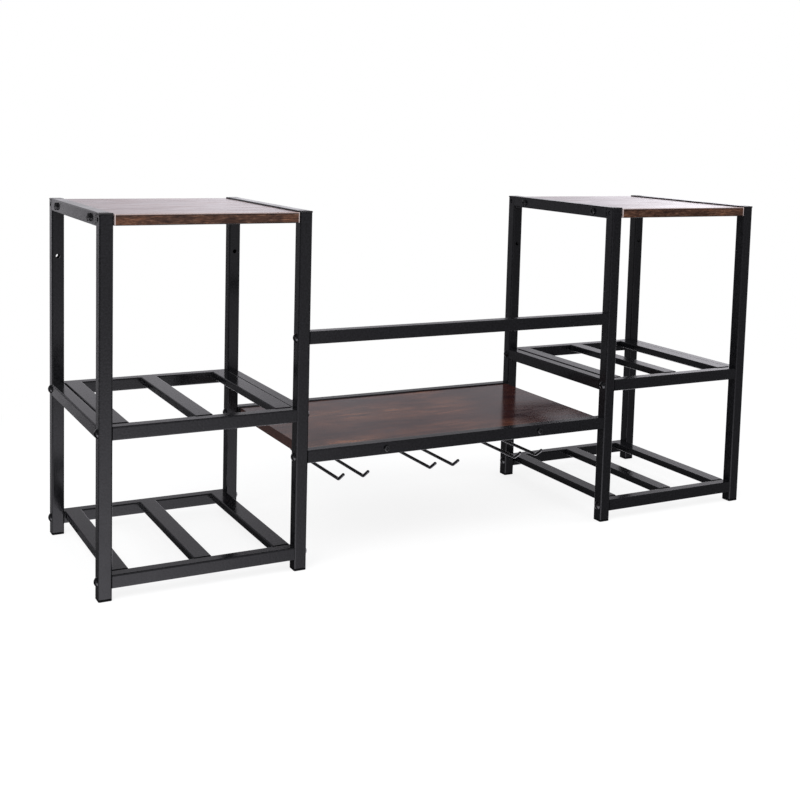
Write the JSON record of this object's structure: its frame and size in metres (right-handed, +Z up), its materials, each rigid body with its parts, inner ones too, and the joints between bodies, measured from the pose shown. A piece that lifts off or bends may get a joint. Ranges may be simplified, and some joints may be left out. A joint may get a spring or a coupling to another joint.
{
  "type": "wall-mounted wine rack",
  "caption": "Wall-mounted wine rack: bottle towers of square steel tube with wooden tops and slatted cradles, joined by a wooden shelf with a bottle bar and hanging glass holders.",
  "frame": {"origin": "on the wall plane, midway along the line of wall holes in the rear posts, which lies 296 mm above the underside of the feet", "axes": "+X to the right along the wall as seen from the room, +Y into the wall, +Z up"},
  "size_m": [0.775, 0.2124, 0.3555],
  "materials": {
    "frame": "satin black powder coat",
    "boards": "dark rustic brown wood-grain laminate, satin",
    "glass_holders": "satin black powder coat",
    "plastic": "matte black",
    "fasteners": "black oxide",
    "plugs": "zinc plated"
  },
  "bodies": {
    "root": {"left_outer_front_post": "frame", "left_outer_rear_post": "frame", "left_inner_front_post": "frame", "left_inner_rear_post": "frame", "right_inner_front_post": "frame", "right_inner_rear_post": "frame", "right_outer_front_post": "frame", "right_outer_rear_post": "frame", "left_outer_top_rail": "frame", "left_inner_top_rail": "frame", "right_inner_top_rail": "frame", "right_outer_top_rail": "frame", "left_outer_mid_rail": "frame", "left_inner_mid_rail": "frame", "right_inner_mid_rail": "frame", "right_outer_mid_rail": "frame", "left_upper_front_rail": "frame", "left_upper_rear_rail": "frame", "left_lower_front_rail": "frame", "left_lower_rear_rail": "frame", "right_upper_front_rail": "frame", "right_upper_rear_rail": "frame", "right_lower_front_rail": "frame", "right_lower_rear_rail": "frame", "left_upper_slat_outer": "frame", "left_upper_slat_middle": "frame", "left_upper_slat_inner": "frame", "left_lower_slat_outer": "frame", "left_lower_slat_middle": "frame", "left_lower_slat_inner": "frame", "right_upper_slat_inner": "frame", "right_upper_slat_middle": "frame", "right_upper_slat_outer": "frame", "right_lower_slat_inner": "frame", "right_lower_slat_middle": "frame", "right_lower_slat_outer": "frame", "left_wood_top": "boards", "right_wood_top": "boards", "middle_shelf_board": "boards", "middle_front_rail": "frame", "middle_rear_rail": "frame", "bottle_bar": "frame", "left_glass_holder": "glass_holders", "middle_glass_holder": "glass_holders", "right_glass_holder": "glass_holders", "feet": "plastic", "post_caps": "plastic", "shelf_bolts": "fasteners", "middle_bolts": "fasteners", "threaded_plugs": "plugs", "top_screws": "fasteners", "middle_front_screws": "fasteners", "middle_rear_screws": "fasteners", "holder_screws": "fasteners"}
  },
  "joints": []
}
